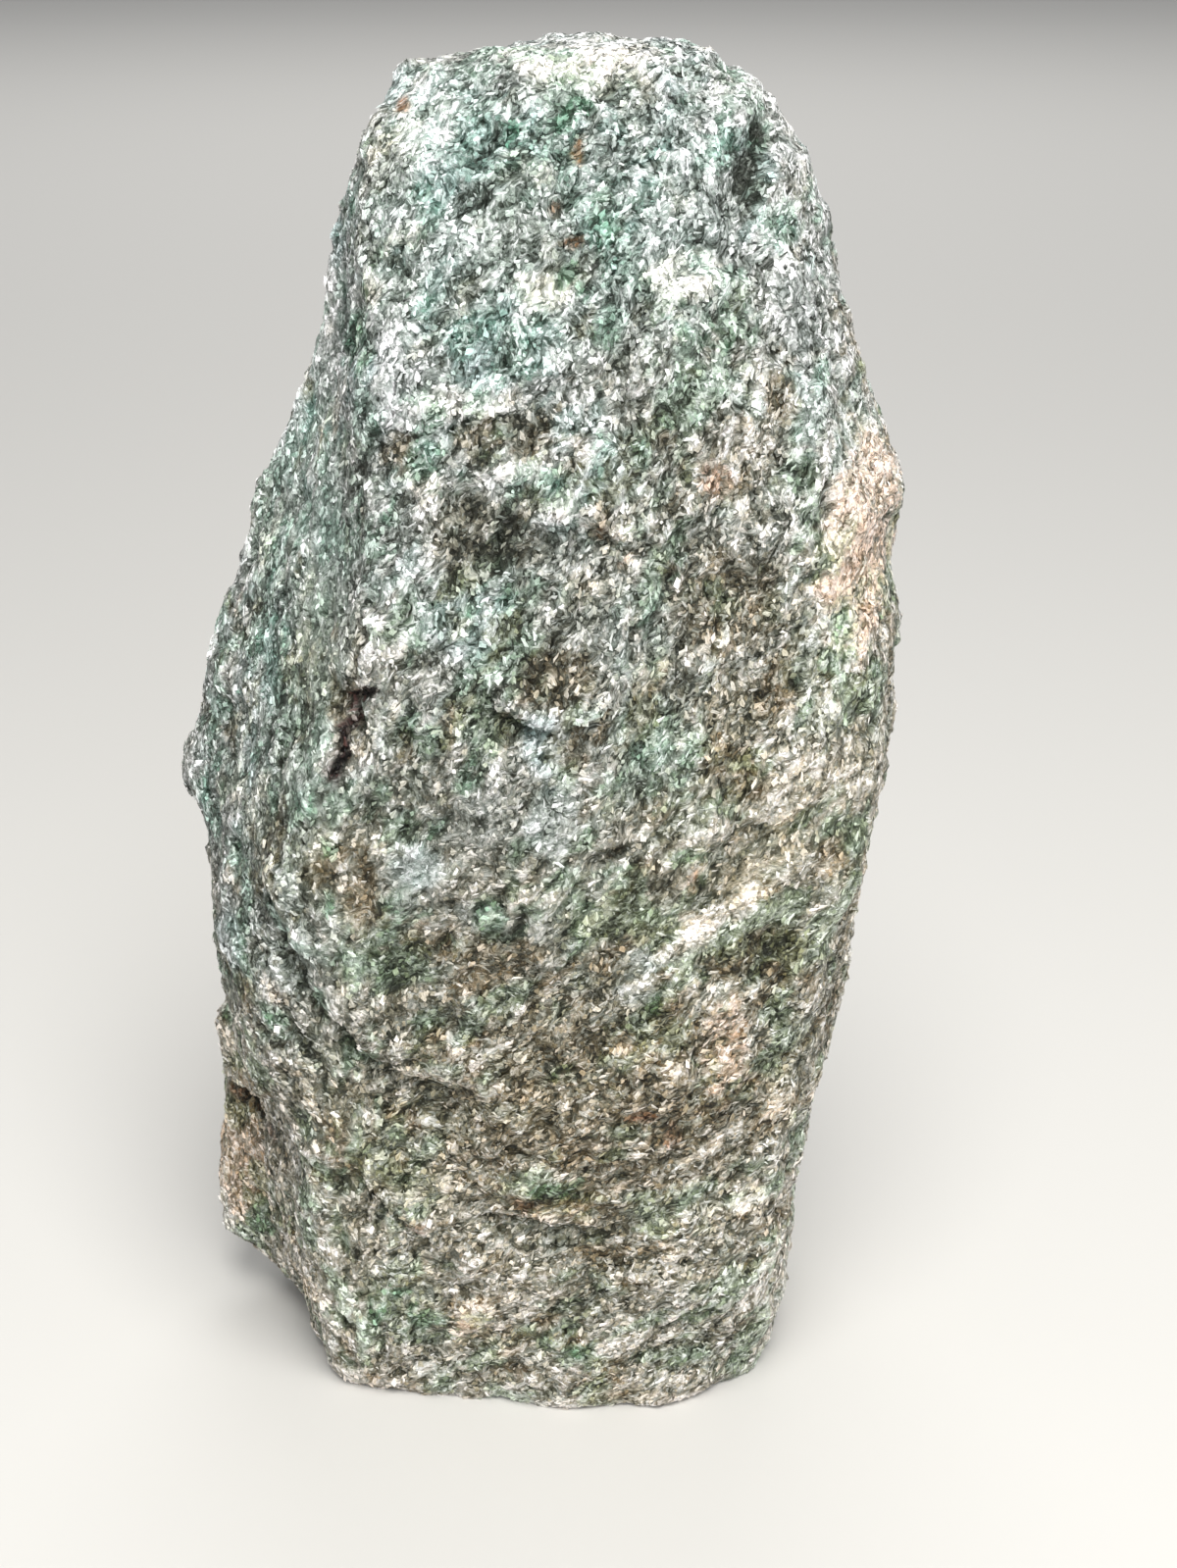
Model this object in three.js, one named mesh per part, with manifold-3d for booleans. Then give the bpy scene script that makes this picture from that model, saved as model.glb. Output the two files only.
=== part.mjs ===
// A fuchsite boulder: one rough block of green mica schist that stands on a small flat spot.
//
// The block is a thick slab about 28 cm tall, widest at about its middle. It has a broken front, a left
// flank that turns away, ledges and hollows across the front, and a chipped corner at the lower left.
// All lengths are millimetres. +Z is up, -Y is the front and +X is the right side as seen from the front.
// The origin is under the middle of the block, on the flat spot that it stands on.
import * as THREE from "three";
import { ImprovedNoise } from "three/addons/math/ImprovedNoise.js";
import { mergeVertices } from "three/addons/utils/BufferGeometryUtils.js";
import Module from "manifold-3d";

// Driving dimensions
const SURFACE_DETAIL = 20; // cuts along each edge of the icosahedron that the surface is cast from
const CORNER_ROUND = 9; // how far two side faces blend where they meet
const TOP_ROUND = 6; // how far the top blends into the sides
const FOLIATION = new THREE.Vector3(-0.42, -0.89, 0.17).normalize(); // across the schist's layers
const LAYER = 15; // thickness of a layer
const LAYER_STEP = 0.2; // share of a layer that shows as a step where the surface cuts across it
const LAYER_EDGE = [0.22, 0.78]; // the part of each layer that the step rises over
const SUNK_BELOW_BASE = 4; // the surface is made this far below the base, then trimmed flat

// Swells that bend the layers, and swells of the surface itself, from broad to small.
const LAYER_SWELLS = [
  { height: 7, wavelength: 46, seed: 7.1 },
  { height: 2.5, wavelength: 17, seed: 9.7 },
];
const SURFACE_SWELLS = [
  { height: 3.0, wavelength: 52, seed: 1.7 },
  { height: 1.9, wavelength: 24, seed: 4.2 },
  { height: 1.3, wavelength: 12, seed: 6.4 },
];

// The rails run up the block, one along each arris. Each point is [z, x, y], and a rail is straight between them.
const RAILS = {
  front_left: [
    [-9, -44, -36],
    [0, -47, -38],
    [20, -54, -41],
    [70, -60, -43],
    [105, -61, -46],
    [132, -50, -50],
    [152, -41, -52],
    [184, -29, -48],
    [212, -28, -42],
    [236, -30, -34],
    [258, -29, -26],
    [272, -27, -15],
    [290, -18, 0],
  ],
  front_middle: [
    [-9, 22, -45],
    [0, 23, -49],
    [40, 20, -54],
    [92, 14, -57],
    [132, 10, -58],
    [170, 12, -55],
    [200, 14, -50],
    [226, 14, -44],
    [250, 12, -34],
    [268, 10, -22],
    [290, 8, -4],
  ],
  front_right: [
    [-9, 46, -33],
    [0, 48, -37],
    [30, 50, -40],
    [70, 55, -42],
    [112, 60, -42],
    [142, 65, -38],
    [172, 66, -34],
    [200, 64, -31],
    [216, 58, -31],
    [240, 51, -26],
    [258, 44, -21],
    [270, 38, -14],
    [290, 26, -1],
  ],
  right: [
    [-9, 52, -10],
    [0, 54, -8],
    [20, 56, -5],
    [46, 60, -4],
    [70, 65, -5],
    [98, 68, -6],
    [124, 73, -6],
    [145, 75, -6],
    [170, 75, -6],
    [200, 74, -4],
    [212, 69, -4],
    [236, 61, -3],
    [256, 51, -2],
    [266, 48, 0],
    [275, 40, 1],
    [290, 28, 3],
  ],
  back_right: [
    [-9, 42, 22],
    [40, 52, 33],
    [90, 62, 38],
    [135, 63, 37],
    [178, 62, 31],
    [215, 54, 24],
    [250, 42, 17],
    [290, 26, 8],
  ],
  back_middle: [
    [-9, 2, 30],
    [30, 2, 40],
    [75, -4, 50],
    [120, -6, 54],
    [165, 4, 49],
    [205, 8, 38],
    [245, 6, 27],
    [290, 4, 12],
  ],
  back_left: [
    [-9, -46, 14],
    [35, -60, 30],
    [85, -62, 36],
    [140, -58, 34],
    [190, -44, 30],
    [235, -32, 22],
    [270, -22, 13],
    [290, -14, 8],
  ],
  left: [
    [-9, -48, -12],
    [0, -59, -12],
    [9, -70, -6],
    [17, -77, 0],
    [30, -77, 2],
    [46, -74, 3],
    [78, -70, 3],
    [106, -73, 0],
    [130, -75, -2],
    [146, -71, -1],
    [170, -67, 2],
    [188, -62, 3],
    [208, -50, 3],
    [226, -42, 3],
    [250, -40, 2],
    [264, -37, 2],
    [276, -30, 3],
    [290, -18, 5],
  ],
};
const RAIL_ORDER = [
  "front_left",
  "front_middle",
  "front_right",
  "right",
  "back_right",
  "back_middle",
  "back_left",
  "left",
];

// The top falls away from a crown a little left of the middle.
const CROWN = { x: 0, y: 4, height: 279.6, fallAcross: 0.0024, fallForward: 0.008, fallBack: 0.012 };

// Scarps are broken edges on the front or back face: the rock stands proud on the left of the line as it is
// followed, and is hollow on its right. Points are [x, z].
const FACING = { from: 8, full: 22 }; // how far from the middle plane a scarp starts, and is whole
const SCARP_EDGE = 3.2; // half the width of the drop
const SCARP_WANDER = { height: 2.5, wavelength: 14, seed: 3.3 }; // how the edge strays from its line
const SCARPS = [
  { face: "front", line: [[-21, 214], [-8, 216], [0, 220], [7, 224]], rise: 1.1, sink: 1.2, reach: 8 },
  { face: "front", line: [[39, 239], [29, 241], [23, 235], [19, 227]], rise: 1.6, sink: 0.9, reach: 9 },
  { face: "front", line: [[7, 214], [-8, 207]], rise: 1.2, sink: 1.0, reach: 6 },
  { face: "front", line: [[9, 196], [21, 194], [31, 198]], rise: 1.0, sink: 1.1, reach: 7 },
  { face: "front", line: [[-5, 164], [2, 160], [9, 161]], rise: 1.4, sink: 1.6, reach: 6 },
  { face: "front", line: [[-46, 110], [-40, 96], [-31, 86], [-17, 82]], rise: 1.5, sink: 2.0, reach: 11 },
  { face: "front", line: [[-36, 57], [-22, 44]], rise: 1.2, sink: 1.5, reach: 9 },
  { face: "front", line: [[-8, 51], [10, 48]], rise: 1.0, sink: 1.2, reach: 8 },
  { face: "front", line: [[43, 124], [31, 117], [19, 107]], rise: 1.7, sink: 0.9, reach: 8 },
  { face: "back", line: [[30, 196], [4, 205], [-24, 198]], rise: 2.2, sink: 2.4, reach: 14 },
  { face: "back", line: [[-40, 150], [-12, 128], [-6, 96]], rise: 2.4, sink: 2.4, reach: 15 },
  { face: "back", line: [[46, 96], [30, 72], [8, 62]], rise: 2.2, sink: 2.2, reach: 13 },
  { face: "back", line: [[-6, 36], [-36, 44], [-50, 62]], rise: 1.8, sink: 2.0, reach: 12 },
];

// Lumps stand out of the surface and pits go into it. Each has its centre, how far it reaches and its height.
const LUMPS = [
  { at: [-77, -2, 132], reach: [12, 14, 7], height: 2.6 },
  { at: [-73, 2, 70], reach: [12, 14, 6], height: 2.2 },
  { at: [-76, 0, 24], reach: [14, 16, 12], height: 2.4 },
  { at: [77, -6, 199], reach: [10, 16, 8], height: 1.0 },
  { at: [77, -6, 168], reach: [10, 14, 6], height: 1.6 },
  { at: [76, -6, 138], reach: [10, 16, 10], height: 1.0 },
  { at: [-16, 0, 279], reach: [9, 14, 8], height: -2.6 },
  { at: [-25, -2, 277], reach: [6, 10, 6], height: 1.6 },
  { at: [-50, 0, 210], reach: [10, 14, 4], height: 1.4 },
  { at: [60, -4, 24], reach: [8, 14, 4], height: 1.2 },
];
const PITS = [
  { at: [40, -28, 262], reach: [5, 14, 9], height: -2.6 },
  { at: [-34, -52, 160], reach: [5, 12, 9], height: -3.6 },
  { at: [-4, -50, 199], reach: [16, 16, 11], height: -3.0 },
  { at: [36, -44, 184], reach: [11, 16, 9], height: -1.8 },
  { at: [47, -44, 109], reach: [11, 14, 8], height: -2.2 },
  { at: [8, -56, 102], reach: [12, 16, 14], height: -2.0 },
  { at: [76, -6, 182], reach: [9, 14, 6], height: -2.0 },
  { at: [75, -6, 153], reach: [9, 12, 5], height: -1.2 },
  { at: [-71, 4, 47], reach: [10, 12, 6], height: -1.2 },
  { at: [-72, 2, 78], reach: [8, 12, 4], height: -1.8 },
  { at: [34, -46, 56], reach: [10, 14, 6], height: -1.8 },
  { at: [14, 52, 150], reach: [20, 16, 18], height: -3.2 },
  { at: [-34, 38, 88], reach: [16, 16, 14], height: -2.8 },
  { at: [40, 34, 132], reach: [12, 14, 22], height: -2.6 },
];

// The chipped corner at the lower left is set back behind a short overhang.
const CHIP = { right: -49.5, top: 69, depth: 5.5, edge: 3.6, front: -14, back: -2 };

const noise = new ImprovedNoise();

function risingStep(low, high, value) {
  return THREE.MathUtils.smoothstep(value, low, high);
}

function fallingStep(low, high, value) {
  return 1 - risingStep(low, high, value);
}

// The larger of two distances, blended where they are close, which rounds the edge between two faces.
function roundedMax(a, b, width) {
  const share = Math.max(width - Math.abs(a - b), 0) / width;
  return Math.max(a, b) + (share * share * width) / 4;
}

// Smooth rises and falls of this height at this wavelength, both in millimetres.
function swellAt(p, { height, wavelength, seed }) {
  const [x, y, z] = [p.x, p.y, p.z].map((length) => length / wavelength);
  return height * noise.noise(x + seed, y - seed, z + 2 * seed);
}

function swellsAt(p, swells) {
  return swells.reduce((sum, swell) => sum + swellAt(p, swell), 0);
}

function railAt(rail, z) {
  let i = 1;
  while (i < rail.length - 1 && rail[i][0] < z) i += 1;
  const [z0, x0, y0] = rail[i - 1];
  const [z1, x1, y1] = rail[i];
  const share = THREE.MathUtils.clamp((z - z0) / (z1 - z0), 0, 1);
  return [x0 + (x1 - x0) * share, y0 + (y1 - y0) * share];
}

// Distance outside the eight-sided section that the rails give at this height.
function outsideSection(p) {
  const corners = RAIL_ORDER.map((name) => railAt(RAILS[name], p.z));
  let outside = -Infinity;
  corners.forEach(([x0, y0], i) => {
    const [x1, y1] = corners[(i + 1) % corners.length];
    const length = Math.hypot(x1 - x0, y1 - y0);
    const distance = ((p.x - x0) * (y1 - y0) - (p.y - y0) * (x1 - x0)) / length;
    outside = i === 0 ? distance : roundedMax(outside, distance, CORNER_ROUND);
  });
  return outside;
}

function aboveTop(p) {
  const across = p.x - CROWN.x;
  const along = p.y - CROWN.y;
  const fall = along < 0 ? CROWN.fallForward : CROWN.fallBack;
  return p.z - (CROWN.height - CROWN.fallAcross * across * across - fall * along * along);
}

// How far a point is from a broken line, and how far it is to the line's left.
function besideLine(line, x, z) {
  let nearest = { distance: Infinity, side: 1 };
  for (let i = 1; i < line.length; i += 1) {
    const [x0, z0] = line[i - 1];
    const [x1, z1] = line[i];
    const length = Math.hypot(x1 - x0, z1 - z0);
    const along = ((x - x0) * (x1 - x0) + (z - z0) * (z1 - z0)) / length;
    const side = ((x1 - x0) * (z - z0) - (z1 - z0) * (x - x0)) / length;
    const inside = THREE.MathUtils.clamp(along, 0, length);
    const distance = Math.hypot(side, along - inside);
    if (distance < nearest.distance) nearest = { distance, side };
  }
  return nearest;
}

function scarpRelief(p, scarp) {
  const { from, full } = FACING;
  const facing = risingStep(from, full, scarp.face === "front" ? -p.y : p.y);
  if (facing === 0) return 0;
  const near = besideLine(scarp.line, p.x, p.z);
  const side = near.side + swellAt(p, SCARP_WANDER);
  const fade = facing * Math.exp(-((near.distance / scarp.reach) ** 2));
  const edge = risingStep(-SCARP_EDGE, SCARP_EDGE, side);
  return fade * (scarp.rise * edge - scarp.sink * (1 - edge));
}

function lumpRelief(p, lump) {
  const [x, y, z] = lump.at;
  const [rx, ry, rz] = lump.reach;
  const d = ((p.x - x) / rx) ** 2 + ((p.y - y) / ry) ** 2 + ((p.z - z) / rz) ** 2;
  return lump.height * Math.exp(-d);
}

function chipRelief(p) {
  const across = fallingStep(CHIP.right - CHIP.edge, CHIP.right + CHIP.edge, p.x);
  const below = fallingStep(CHIP.top - CHIP.edge, CHIP.top + CHIP.edge, p.z);
  const front = fallingStep(CHIP.front, CHIP.back, p.y);
  return -CHIP.depth * across * below * front;
}

// The layers end in low steps where the surface cuts across them.
function layerRelief(p) {
  const layers = (p.dot(FOLIATION) + swellsAt(p, LAYER_SWELLS)) / LAYER;
  const share = layers - Math.floor(layers);
  const step = risingStep(...LAYER_EDGE, share);
  return LAYER * LAYER_STEP * (step - share);
}

function relief(p) {
  let height = swellsAt(p, SURFACE_SWELLS) + layerRelief(p) + chipRelief(p);
  for (const scarp of SCARPS) height += scarpRelief(p, scarp);
  for (const lump of [...LUMPS, ...PITS]) height += lumpRelief(p, lump);
  return height;
}

// How far a point is outside the rock.
function outsideRock(p) {
  const whole = roundedMax(outsideSection(p), aboveTop(p), TOP_ROUND);
  const buried = -SUNK_BELOW_BASE - p.z;
  return Math.max(whole - relief(p), buried);
}

// The surface is cast outwards from a spine inside the block, fanning out at its two ends.
const SPINE = { x: -2, y: 0, low: 58, high: 222 };
const FAN_SHARE = 0.25; // part of the way from pole to pole that each fan takes
const FARTHEST = 200;
const HALVINGS = 36;

function castPoint(direction) {
  const around = Math.atan2(direction.y, direction.x);
  const share = Math.asin(THREE.MathUtils.clamp(direction.z, -1, 1)) / Math.PI + 0.5;
  const low = Math.min(share / FAN_SHARE, 1);
  const high = Math.max((share - 1 + FAN_SHARE) / FAN_SHARE, 0);
  const middle = THREE.MathUtils.clamp((share - FAN_SHARE) / (1 - 2 * FAN_SHARE), 0, 1);
  const tilt = ((low - 1 + high) * Math.PI) / 2;
  const start = new THREE.Vector3(SPINE.x, SPINE.y, SPINE.low + (SPINE.high - SPINE.low) * middle);
  const ray = new THREE.Vector3(
    Math.cos(around) * Math.cos(tilt),
    Math.sin(around) * Math.cos(tilt),
    Math.sin(tilt),
  );
  let inside = 0;
  let outside = FARTHEST;
  const p = new THREE.Vector3();
  for (let i = 0; i < HALVINGS; i += 1) {
    const reach = (inside + outside) / 2;
    p.copy(start).addScaledVector(ray, reach);
    if (outsideRock(p) > 0) outside = reach;
    else inside = reach;
  }
  return start.addScaledVector(ray, inside);
}

function onlyPositions(geometry) {
  geometry.deleteAttribute("normal");
  geometry.deleteAttribute("uv");
  return mergeVertices(geometry, 1e-4);
}

function roughBlock() {
  const ball = onlyPositions(new THREE.IcosahedronGeometry(1, SURFACE_DETAIL));
  const places = ball.getAttribute("position");
  const direction = new THREE.Vector3();
  for (let i = 0; i < places.count; i += 1) {
    direction.fromBufferAttribute(places, i).normalize();
    const p = castPoint(direction);
    places.setXYZ(i, p.x, p.y, p.z);
  }
  return ball;
}

const wasm = await Module();
wasm.setup();

function solidFrom(geometry) {
  const vertProperties = new Float32Array(geometry.getAttribute("position").array);
  const triVerts = new Uint32Array(geometry.index.array);
  return new wasm.Manifold(new wasm.Mesh({ numProp: 3, vertProperties, triVerts }));
}

function geometryFrom(solid) {
  const mesh = solid.getMesh();
  const geometry = new THREE.BufferGeometry();
  geometry.setAttribute("position", new THREE.BufferAttribute(mesh.vertProperties, 3));
  geometry.setIndex(new THREE.BufferAttribute(mesh.triVerts, 1));
  return geometry;
}

// A slab that fills the space under the base.
function underBase() {
  const width = 2 * FARTHEST;
  const depth = 10 * SUNK_BELOW_BASE;
  const slab = new THREE.BoxGeometry(width, width, depth).translate(0, 0, -depth / 2);
  return solidFrom(onlyPositions(slab));
}

// The middle of the block's box, in plan, goes over the origin.
function centre(geometry) {
  geometry.computeBoundingBox();
  const middle = geometry.boundingBox.getCenter(new THREE.Vector3());
  geometry.translate(-middle.x, -middle.y, -geometry.boundingBox.min.z);
  geometry.computeVertexNormals();
  return geometry;
}

function makeBoulder() {
  const trimmed = solidFrom(roughBlock()).subtract(underBase());
  const schist = new THREE.MeshStandardMaterial({
    name: "fuchsite_schist",
    color: new THREE.Color("#7d9482"),
    roughness: 0.6,
    metalness: 0,
    flatShading: true,
  });
  const boulder = new THREE.Mesh(centre(geometryFrom(trimmed)), schist);
  boulder.name = "boulder";
  return boulder;
}

const model = new THREE.Group();
model.add(makeBoulder());

export default model;
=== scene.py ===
"""A fuchsite boulder: a rough upright block of green mica schist, about 28 cm tall.

The block's surface is a fine mesh made from the solid, broken into ledges, cracks and pits. Many
thousands of small mica flakes lie on it along the schist's grain. Lengths are in millimetres until a mesh
is written, which is in metres. The camera, the lights and the floor are in metres.
"""

import math

import bmesh
import bpy
import numpy as np
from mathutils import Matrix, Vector, noise


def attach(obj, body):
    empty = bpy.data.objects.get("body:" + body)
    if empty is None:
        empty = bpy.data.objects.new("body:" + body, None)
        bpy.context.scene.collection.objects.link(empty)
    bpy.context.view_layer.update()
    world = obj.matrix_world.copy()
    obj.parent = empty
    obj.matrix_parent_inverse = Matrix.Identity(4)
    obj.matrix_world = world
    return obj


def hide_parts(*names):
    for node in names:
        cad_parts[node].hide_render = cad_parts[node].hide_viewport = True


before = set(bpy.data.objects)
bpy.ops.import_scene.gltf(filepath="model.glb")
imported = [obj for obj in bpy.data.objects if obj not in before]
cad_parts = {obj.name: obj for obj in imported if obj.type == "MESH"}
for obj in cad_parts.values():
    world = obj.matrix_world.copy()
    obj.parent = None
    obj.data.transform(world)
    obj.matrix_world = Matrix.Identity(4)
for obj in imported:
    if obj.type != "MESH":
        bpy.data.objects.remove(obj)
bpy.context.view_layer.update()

MM = 0.001
NOISE_SEED = 1
noise.seed_set(NOISE_SEED)  # so that the chips' ragged edges are the same in each run

# The block's surface
MERGE_DISTANCE = 0.01  # corners of the solid's loose triangles that are closer than this are one
MESH_SPACING = 1.25
FACET_SMOOTHING = 12  # rounds that smooth the solid's facets away
BASE_KEPT_FLAT = 0.6  # height below which the surface stays flat
BASE_FADE = 5.0  # height where the surface has its full relief

# Each kind of relief on it: how high, how far apart, and its seed.
SWELLS = [(1.0, 30, 1), (0.7, 13, 2)]
GRAIN_RIDGES = [(0.7, 15, 11), (0.6, 7.5, 12), (0.4, 4.2, 13)]
ROUGHNESS = (0.3, 2.9, 14)
PIT_DEPTH = 0.8

# The schist's layers lie nearly along the front face, and break into low irregular steps.
LAYER_ACROSS = Vector((-0.42, -0.89, 0.17)).normalized()
LAYER = 3.6  # a layer's thickness
LAYER_STEP = 0.34  # how high a step stands, for its layer's thickness
LAYER_BENDS = [(4.5, 24, 5), (2.2, 8, 6)]  # how far the layers bend, how far apart, and the seed

# The grain's streaks lean to the right of vertical, more so in the lower half, but not on the left flank.
# Heights are in millimetres and leans in degrees.
LEAN_HEIGHTS = [0, 55, 95, 135, 170, 230, 285]
LEANS = [66, 64, 60, 45, 24, 24, 36]
FLANK_LEAN = 5
LOW_LEFT_LEAN = -38
LEAN_SWIRLS = [(34, 18, 37), (38, 6, 38)]  # how far single flakes turn from it, how far apart, and the seed

# Streaks are drawn at these leans and blended between them.
MAIN_LEANS = [-38, -16, 6, 28, 50, 72]
LEAN_GAP = 22
GRAIN_STRETCH = 1.7  # streaks are this many times as long as they are wide

# The surface breaks into chips. Each size of chip has its width, and how far it stands out and tilts.
CHIPS = [
    {"width": 5.2, "height": 0.05, "tilt": 0.28, "seed": 3},
    {"width": 2.7, "height": 0.06, "tilt": 0.3, "seed": 8},
]
CHIP_RAGGED = 0.25  # how far a chip's edge strays, for its width

# Broken edges on the front. Points are x and z, followed with the proud side on the left. Then come how far
# that side stands out, how far the other side sinks, and how far from the edge both reach.
EDGES = [
    {"line": [(-22, 214), (-14, 215), (-7, 217), (0, 221), (7, 225)], "rise": 0.8, "sink": 0.4, "reach": 4},
    {"line": [(40, 238), (33, 242), (27, 240), (22, 233), (19, 226)], "rise": 1.1, "sink": 0.8, "reach": 4},
    {"line": [(8, 214), (0, 210), (-8, 206)], "rise": 0.9, "sink": 0.5, "reach": 4},
    {"line": [(9, 196), (15, 195), (21, 194), (31, 198)], "rise": 0.5, "sink": 0.6, "reach": 4},
    {"line": [(-5, 164), (-1, 161), (4, 160), (9, 162)], "rise": 0.7, "sink": 1.0, "reach": 3.5},
    {"line": [(-47, 111), (-42, 99), (-36, 90), (-28, 84), (-17, 82)], "rise": 0.7, "sink": 1.0, "reach": 5},
    {"line": [(-52, 104), (-47, 92), (-40, 82), (-31, 77)], "rise": 0.6, "sink": 0.9, "reach": 4},
    {"line": [(-36, 57), (-30, 50), (-22, 44)], "rise": 0.7, "sink": 0.9, "reach": 4},
    {"line": [(-8, 51), (1, 50), (10, 48)], "rise": 0.5, "sink": 0.8, "reach": 4},
    {"line": [(43, 124), (34, 120), (26, 114), (19, 106)], "rise": 1.1, "sink": 0.6, "reach": 4},
    {"line": [(-68, 57), (-61, 56), (-52, 60)], "rise": 0.8, "sink": 1.2, "reach": 4},
    {"line": [(-9, 200), (-12, 193), (-14, 186)], "rise": 0.5, "sink": 0.8, "reach": 4},
    {"line": [(22, 181), (30, 186), (38, 190)], "rise": 0.5, "sink": 0.7, "reach": 5},
    {"line": [(14, 135), (23, 139), (32, 146)], "rise": 0.5, "sink": 0.7, "reach": 5},
]

# Narrow cracks and slots on the front: points x and z, then how wide and deep. The first is stained maroon.
CRACKS = [
    {
        "line": [(-29, 167), (-33, 164), (-32, 160), (-36, 157), (-35, 153), (-38, 149)],
        "width": 0.9,
        "depth": 2.2,
    },
    {"line": [(-31, 179), (-31, 177)], "width": 1.2, "depth": 2.2},
    {"line": [(43, 264), (41, 257), (38, 250)], "width": 2.8, "depth": 2.6},
    {"line": [(-14, 206), (-15, 201), (-16, 196)], "width": 0.9, "depth": 1.0},
    {"line": [(12, 196), (18, 194), (24, 197)], "width": 1.0, "depth": 1.0},
    {"line": [(-4, 162), (2, 159)], "width": 1.2, "depth": 1.2},
    {"line": [(20, 77), (25, 76), (28, 77)], "width": 1.0, "depth": 1.0},
    {"line": [(-67, 55), (-60, 54)], "width": 1.3, "depth": 1.4},
    {"line": [(20, 228), (21, 224)], "width": 0.9, "depth": 1.1},
]

# Patches of colour on the front: centre x and z, reach across and up, and strength. Pale and cool patches are
# lighter than the rock round them. Dark ones are darker: partly the rock's dark colour, partly painted shade
# in the hollows, slots and under the ledges.
PALE = [
    (-18, 265, 6, 8, 0.4),
    (9, 276, 14, 4, 0.8),
    (28, 240, 8, 4, 1.0),
    (3, 238, 5, 3, 1.0),
    (-29, 238, 2, 3, 1.0),
    (-10, 219, 12, 2.5, 0.55),
    (0, 208, 7, 3, 0.55),
    (6, 201, 4, 3, 0.8),
    (30, 118, 6, 2.5, 0.6),
    (40, 125, 5, 2.2, 0.6),
    (-12, 26, 4, 4, 0.9),
    (45, 52, 4, 4, 0.8),
    (58, 160, 5, 24, 0.3),
]
COOL = [
    (-18, 264, 5, 8, 0.4),
    (-12, 180, 8, 6, 0.5),
    (3, 158, 4, 7, 0.75),
    (4, 142, 5, 8, 0.55),
    (-22, 132, 5, 5, 0.6),
    (-10, 122, 5, 4, 0.4),
    (20, 108, 5, 7, 0.75),
    (-62, 106, 3, 7, 0.5),
    (-58, 150, 3, 12, 0.5),
    (30, 60, 4, 3, 0.3),
]
# Dark patches: dark rock together with painted shade in hollows, slots and under ledges.
DARK_AND_SHADED = [
    (-6, 261, 6, 6, 0.6),
    (41, 257, 3.5, 8, 1.7),
    (0, 216, 5, 3, 0.6),
    (-31, 220, 3, 9, 0.5),
    (-8, 196, 8, 7, 1.1),
    (-32, 177, 2, 2, 1.0),
    (37, 183, 6, 7, 0.15),
    (5, 170, 5, 4, 0.4),
    (-10, 113, 4, 5, 0.4),
    (45, 109, 8, 4, 0.6),
    (25, 84, 7, 4, 0.5),
    (-44, 92, 4, 8, 0.4),
    (-60, 53, 8, 2.5, 0.8),
    (40, 21, 7, 5, 0.5),
]
GREEN = [
    (0, 250, 36, 24, 0.4),
    (-46, 185, 12, 34, 0.6),
    (-50, 140, 10, 22, 0.4),
    (22, 158, 7, 8, 0.6),
    (-30, 62, 8, 8, 0.5),
    (-29, 28, 8, 10, 0.5),
    (52, 86, 6, 8, 0.4),
]
EMERALD = [
    (14, 250, 3, 5, 0.45),
    (15, 232, 3, 4, 0.6),
    (-7, 262, 6, 7, 0.25),
    (4, 204, 4, 4, 0.6),
    (-32, 226, 3, 5, 0.6),
    (-30, 214, 3, 6, 0.5),
    (-8, 122, 3, 6, 0.8),
    (29, 133, 3, 2, 0.8),
    (-29, 60, 3, 3, 0.5),
]
BROWN = [
    (-8, 195, 10, 8, 0.55),
    (37, 182, 11, 11, 0.7),
    (5, 170, 8, 6, 0.9),
    (45, 109, 11, 5, 0.9),
    (18, 120, 10, 6, 0.5),
    (-10, 113, 5, 7, 0.5),
    (-68, 40, 9, 14, 0.9),
    (10, 75, 32, 24, 0.6),
    (-2, 213, 6, 4, 0.7),
    (3, 54, 12, 5, 0.6),
    (30, 210, 16, 10, 0.4),
    (-34, 158, 4, 8, 0.6),
]
TAN = [
    (64, 190, 9, 19, 1.1),
    (-68, 38, 9, 13, 0.5),
    (38, 90, 5, 12, 0.7),
    (-14, 20, 4, 4, 0.5),
    (9, 276, 9, 2.5, 0.3),
]
RUST = [
    (22, 77, 3.0, 1.2, 1.2),
    (28, 72, 1.8, 3.5, 0.5),
    (9, 261, 0.9, 2.2, 1.0),
    (5, 252, 0.8, 1.6, 0.8),
    (8, 246, 2.4, 0.9, 0.9),
    (-23, 268, 1.3, 1.3, 0.7),
    (34, 205, 2.8, 3.2, 0.45),
    (13, 196, 1.6, 1.4, 0.6),
    (-63, 54, 7, 1.8, 0.6),
    (-26, 48, 4, 1.4, 0.5),
    (3, 55, 7, 1.8, 0.4),
]

# The rock's shades from its darkest gaps to its brightest mica, each at its tone.
SHADES = [
    (0.0, "#262b24"),
    (0.2, "#4f554e"),
    (0.4, "#7c847f"),
    (0.6, "#a9aeaa"),
    (0.8, "#d3d6d4"),
    (1.0, "#ffffff"),
]

# The tint that each stain multiplies the mica's colour by, and how much weaker it is on the brightest mica.
TINTS = {
    "warm": ("#ffe6c4", 0.7),
    "green": ("#d2f0e1", 0.5),
    "emerald": ("#b8e0cb", 0.2),
    "teal": ("#ddf2f1", 0.5),
    "brown": ("#f0d8bb", 0.8),
    "cream": ("#fffaf1", 0.0),
    "tan": ("#ffeadb", 0.0),
    "rust": ("#d9a07a", 0.0),
    "maroon": ("#7e5757", 0.0),
}

# The mottled stains: the noise above which each one shows, its patches on the front, and its seed.
STAINS = [
    ("green", 0.05, GREEN, 51),
    ("emerald", 0.45, EMERALD, 63),
    ("teal", 0.1, COOL, 53),
    ("brown", 0.16, BROWN, 55),
    ("cream", 0.25, PALE, 57),
    ("tan", 0.6, TAN, 59),
    ("rust", 0.75, RUST, 61),
]

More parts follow.
